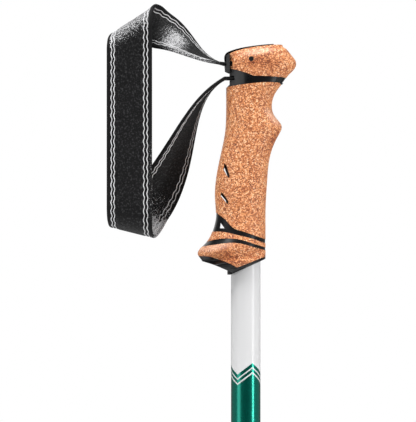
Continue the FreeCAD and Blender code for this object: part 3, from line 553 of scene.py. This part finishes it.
def lacquer():
    """Green in two thin bands and then all the way, by how far the surface lies below a wave round the tube.
    The wave is 1 at its peaks and -1 at its troughs, with straight lines between them."""
    paint = Finish("tube_lacquer", Specular_IOR_Level=0.3, Coat_Weight=0.25, Coat_Roughness=0.12)
    x, y, z = (paint.part(i) for i in range(3))
    angle = paint.node("ShaderNodeMath", {"operation": "ARCTAN2"}, y, x)
    whole_turns = 4 * math.pi           # added so that the angle is never negative
    turn = (angle - math.radians(ZIGZAG_PEAK_DEG) + whole_turns) * (ZIGZAG_POINTS / math.pi)
    wave = 1 - turn.math("PINGPONG", 1.0) * 2
    below = (wave * ZIGZAG_RISE + ZIGZAG_MIDDLE) * MM - z
    green = below.step((GREEN_FROM - PAINT_EDGE) * MM, (GREEN_FROM + PAINT_EDGE) * MM)
    for begin, end in GREEN_BANDS:
        green = green + below.between(begin * MM, end * MM, PAINT_EDGE * MM)
    flake = paint.noise(0.2, 2.0)
    cloud = paint.noise(30.0, 1.0)
    white = paint.mixed(cloud, *WHITE_TONES)
    deep = paint.mixed(flake * 0.4 + cloud * 0.6, *GREEN_TONES)
    paint.feed("Base Color", paint.mixed(green, white, deep))
    paint.feed("Metallic", green * 0.82)
    paint.feed("Roughness", 0.34 - green * 0.10)
    paint.bump(paint.noise(6.0, 1.0) * 0.5 + green * 0.5, 0.006)
    return paint.material


dress(lacquer(), "upper_tube")


# ---------------------------------------------------------------- the middle and lower tubes
# Anodised aluminium, satin, with faint drawing lines along the tube, in bushes and liners of grey plastic.
# Length marks are printed down the side of each tube every ten millimetres, wider at every fifty.
MARK_STEP, MARK_HALF_WIDTH, WIDE_MARK_HALF_WIDTH, MARK_HALF_HEIGHT = 10.0, 2.2, 4.2, 0.35
INK_BLACK = (0.02, 0.02, 0.02)


def length_marks(metal):
    """1 on thin lines across the tube's -Y side: narrow ones at every step, and wide ones at every fifth."""
    x, y, z = (metal.part(i) / MM for i in range(3))
    lines = []
    for step, half_width in ((MARK_STEP, MARK_HALF_WIDTH), (5 * MARK_STEP, WIDE_MARK_HALF_WIDTH)):
        from_line = (z / step).math("PINGPONG", 0.5)
        clear = from_line.step((MARK_HALF_HEIGHT - 0.05) / step, (MARK_HALF_HEIGHT + 0.05) / step)
        aside = x.math("ABSOLUTE").step(half_width - 0.1, half_width + 0.1)
        lines.append((1 - clear) * (1 - aside))
    return lines[0].math("MAXIMUM", lines[1]) * (1 - y.step(-1.0, 0.0))


def anodised(name, tone, roughness=0.36, marked=False):
    """Satin anodised aluminium of one tone, with fine lines along Z, and length marks on a marked tube."""
    metal = Finish(name, Metallic=1.0)
    draw = metal.noise(0.6, 3.0, vector=metal.scaled(1.0, 1.0, 0.02))
    colour = metal.mixed(draw, tuple(0.82 * c for c in tone), tuple(1.15 * c for c in tone))
    if marked:
        ink = length_marks(metal)
        colour = metal.mixed(ink, colour, INK_BLACK)
        metal.feed("Metallic", 1 - ink)
    metal.feed("Base Color", colour)
    metal.feed("Roughness", roughness + (draw - 0.5) * 0.2)
    metal.bump(draw, 0.012)
    return metal.material


dress(anodised("tube_anodising", (0.42, 0.43, 0.45), marked=True), "middle_tube", "lower_tube")
dress(moulded("bush_plastic", dark=(0.20, 0.21, 0.22), pale=(0.30, 0.31, 0.32), roughness=0.45),
      "middle_guide_bush", "lower_guide_bush", "upper_tube_plug", "upper_lock_liner", "lower_lock_liner")


# ---------------------------------------------------------------- the lever locks
# Each lock has a clamp and a thumb nut moulded in glass-filled black plastic, a cam lever of aluminium
# anodised green, and a plate, a screw and an axle of plated steel.
dress(moulded("lock_plastic", dark=(0.016, 0.016, 0.017), pale=(0.034, 0.034, 0.036), roughness=0.5,
              grain_mm=0.5, depth_mm=0.05),
      "upper_lock_clamp", "lower_lock_clamp", "upper_lock_nut", "lower_lock_nut")
dress(anodised("lever_anodising", (0.01, 0.22, 0.165), roughness=0.34),
      "upper_lock_lever", "lower_lock_lever")
dress(ground_steel("plated_steel", 0.55, roughness=0.26), "upper_lock_plate", "lower_lock_plate",
      "upper_lock_screw", "lower_lock_screw", "upper_lock_axle", "lower_lock_axle")


# ---------------------------------------------------------------- the tip and the basket
# The tip holder and the basket that screws onto it are moulded in hard black plastic, and the flex sleeve
# in a duller, softer one. The tip itself is a ground carbide stud.
dress(moulded("tip_plastic", dark=(0.014, 0.014, 0.015), pale=(0.030, 0.030, 0.031), roughness=0.42),
      "tip_holder", "basket")
dress(moulded("tip_rubber", dark=(0.018, 0.018, 0.018), pale=(0.034, 0.034, 0.034), roughness=0.74,
              grain_mm=0.3, depth_mm=0.05),
      "flex_sleeve")
dress(ground_steel("ground_carbide", 0.30, roughness=0.40), "carbide_tip")


# ---------------------------------------------------------------- the studio
# A plain pale floor under the tip that fades out into the white room. It moves with the lower section, so
# that the pole stands on its tip however long it is pulled out.
FLOOR_FADE, FLOOR_RADIUS, FLOOR_SIDES = 0.25, 1.6, 96
floor_mesh = bpy.data.meshes.new("floor")
around = np.linspace(0, 2 * math.pi, FLOOR_SIDES + 1)[:-1]
level = np.full(FLOOR_SIDES, cad_bounds[0][2])
rim = np.stack([FLOOR_RADIUS * np.cos(around), FLOOR_RADIUS * np.sin(around), level], axis=-1)
floor_mesh.from_pydata(rim, [], [list(range(FLOOR_SIDES))])
floor = bpy.data.objects.new("floor", floor_mesh)
bpy.context.scene.collection.objects.link(floor)
pale = Finish("pale_floor", Roughness=0.9, Specular_IOR_Level=0.1)
pale.feed("Base Color", pale.mixed(pale.noise(400.0, 1.0), (0.86, 0.86, 0.86), (0.90, 0.90, 0.90)))
far_x, far_y = pale.part(0), pale.part(1)
pale.feed("Alpha", 1 - (far_x * far_x + far_y * far_y).math("SQRT").step(FLOOR_FADE, FLOOR_RADIUS))
floor_mesh.materials.append(pale.material)
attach(floor, "lower_section")


def soft_light(name, place, aim, size, power):
    """A rectangular soft light at place, facing aim."""
    lamp = bpy.data.lights.new(name, "AREA")
    lamp.shape, lamp.size, lamp.size_y, lamp.energy = "RECTANGLE", size[0], size[1], power
    holder = bpy.data.objects.new(name, lamp)
    holder.location = place
    way = np.array(aim) - np.array(place)
    pitch = math.atan2(way[2], math.hypot(way[0], way[1]))
    holder.rotation_euler = (math.pi / 2 + pitch, 0, math.atan2(way[1], way[0]) - math.pi / 2)
    bpy.context.scene.collection.objects.link(holder)


# A broad soft light from the upper left and a faint one from the right, a tall narrow one that draws the
# bright line down the tube, a tall panel that lights its left side, and a low one that opens the shadows
# under the grip. One more hangs above, and one stands behind.
AIM, LOW_AIM = (0.0, 0.0, -0.05), (0, 0, -0.13)
soft_light("key", (-0.70, -1.05, 1.45), AIM, (0.7, 0.7), 21)
soft_light("fill", (1.0, -1.3, 1.0), AIM, (0.9, 0.9), 3.5)
soft_light("edge_strip", (0.95, -0.58, -0.1), AIM, (0.11, 1.3), 9)
soft_light("left_panel", (-1.1, -0.72, -0.1), AIM, (0.62, 1.3), 5.5)
soft_light("low_fill", (-0.6, -1.3, -0.9), LOW_AIM, (0.6, 0.6), 2.6)
soft_light("top", (0.0, -0.05, 1.4), AIM, (1.8, 0.9), 24)
soft_light("back", (-0.6, 1.6, 0.5), AIM, (1.2, 1.2), 4)

# The room: pale walls to the left and right, a softer ceiling, and near darkness in front and behind so
# that the black parts stay black. The camera itself sees plain white.
ROOM_DARK, ROOM_WALLS, ROOM_CEILING, WHITE = 0.04, 0.42, 0.30, (1, 1, 1)
world = bpy.data.worlds.new("white_room")
bpy.context.scene.world = world
world.use_nodes = True
room = Nodes(world.node_tree)
way = room.node("ShaderNodeTexCoord", {}, out="Generated")
sides, overhead = room.part(0, way).math("ABSOLUTE"), room.part(2, way).math("MAXIMUM", 0.0)
strength = ROOM_DARK + sides * sides * ROOM_WALLS + overhead * ROOM_CEILING
light = room.node("ShaderNodeBackground", {}, WHITE, strength)
white = room.node("ShaderNodeBackground", {}, WHITE, 1.0)
seen = room.node("ShaderNodeLightPath", {}, out="Is Camera Ray")
mixed = room.node("ShaderNodeMixShader", {}, seen, light, white)
world.node_tree.links.new(mixed.socket, world.node_tree.nodes["World Output"].inputs["Surface"])
